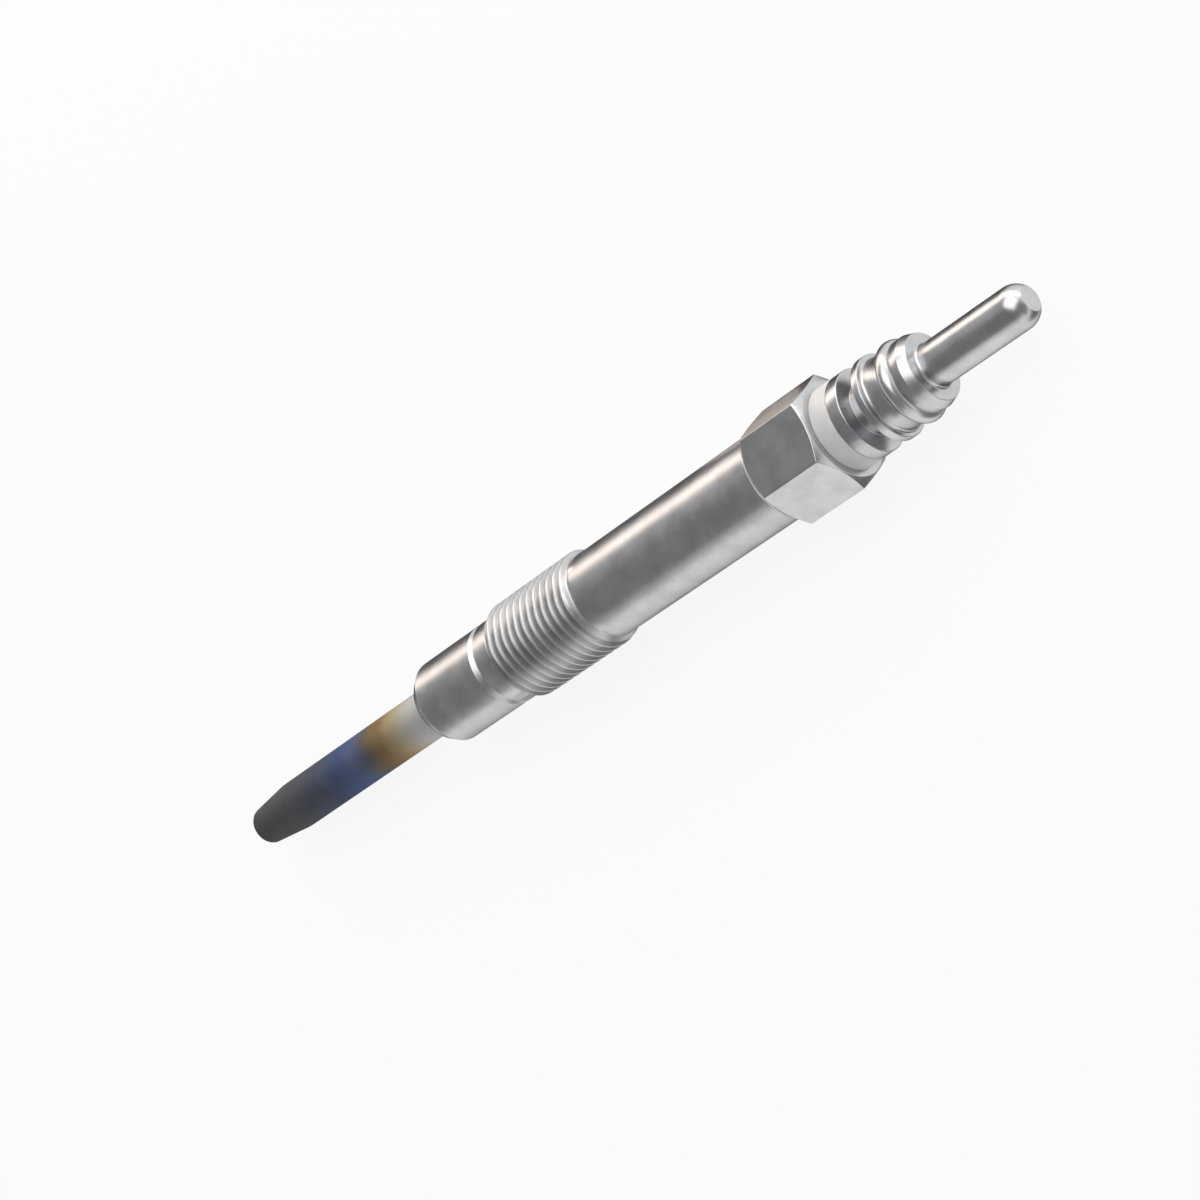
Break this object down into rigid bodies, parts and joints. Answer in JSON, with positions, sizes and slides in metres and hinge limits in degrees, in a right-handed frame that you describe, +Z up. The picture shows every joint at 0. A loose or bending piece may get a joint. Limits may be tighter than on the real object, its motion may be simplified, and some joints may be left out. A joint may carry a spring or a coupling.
{
  "type": "diesel glow plug",
  "caption": "Sheathed glow plug: threaded steel shell with hexagon and sealing cone, tapered heater tube at one end, insulated push-on terminal pin at the other.",
  "frame": {"origin": "on the plug's axis, in the plane of the shell's front face beside the sealing cone", "axes": "+X along the axis towards the terminal pin, +Z up, with two flats of the hexagon level"},
  "size_m": [0.1115, 0.0114, 0.01],
  "materials": {
    "shell_steel": "satin turned",
    "tube_steel": "satin with heat tint towards the tip",
    "filament_wire": "drawn wire",
    "ceramic_powder": "pressed powder",
    "stud_steel": "drawn",
    "gasket_rubber": "matt",
    "washer_plastic": "satin moulded",
    "cap_steel": "satin turned"
  },
  "bodies": {
    "root": {"plug_shell": "shell_steel", "glow_tube": "tube_steel", "heating_filament": "filament_wire", "control_filament": "filament_wire", "filling_powder": "ceramic_powder", "terminal_stud": "stud_steel", "element_gasket": "gasket_rubber", "shell_gasket": "gasket_rubber", "insulating_washer": "washer_plastic", "connector_cap": "cap_steel"}
  },
  "joints": []
}
